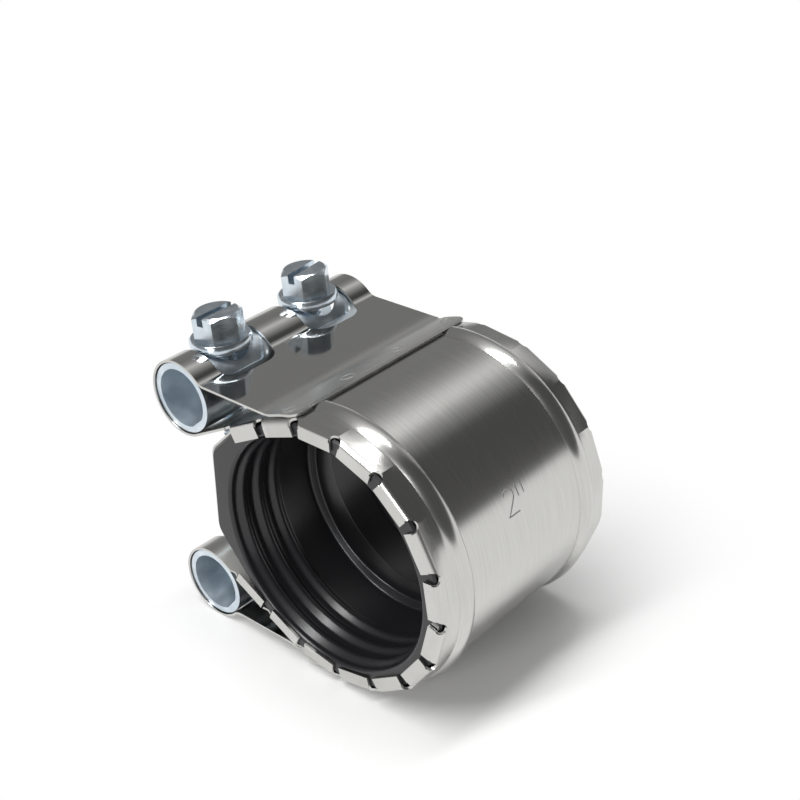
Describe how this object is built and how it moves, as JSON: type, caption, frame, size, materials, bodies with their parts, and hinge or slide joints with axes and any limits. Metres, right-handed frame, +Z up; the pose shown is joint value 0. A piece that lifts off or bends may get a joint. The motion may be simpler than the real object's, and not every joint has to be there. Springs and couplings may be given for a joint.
{
  "type": "no-hub pipe coupling",
  "caption": "No-hub pipe coupling: a ribbed rubber sleeve inside a stainless band whose folded ends are drawn together by slotted hex screws through two tube bars.",
  "frame": {"origin": "on the pipe axis at mid-length, the middle of the sleeve's stop ring", "axes": "+Y along the pipe axis, +Z up along the screws towards their heads, screws on the -X side"},
  "size_m": [0.0919, 0.061, 0.0804],
  "materials": {
    "stainless": "brushed stainless sheet, near mirror on the folded plates",
    "rubber": "smooth black rubber",
    "zinc": "bright bluish zinc plating"
  },
  "bodies": {
    "coupling": {"band": "stainless", "bridge_plate": "stainless", "sleeve": "rubber", "upper_bar": "zinc", "lower_bar": "zinc"},
    "near_screw": {"screw_near": "zinc"},
    "far_screw": {"screw_far": "zinc"}
  },
  "joints": [
    {"name": "screw_near_turn", "type": "hinge", "parent": "coupling", "child": "near_screw", "pos_m": [-0.04367, -0.0148, 0.0265], "axis": [-0.0482, 0, 0.9988], "continuous": true},
    {"name": "screw_far_turn", "type": "hinge", "parent": "coupling", "child": "far_screw", "pos_m": [-0.04367, 0.0148, 0.0265], "axis": [-0.0482, 0, 0.9988], "continuous": true}
  ]
}
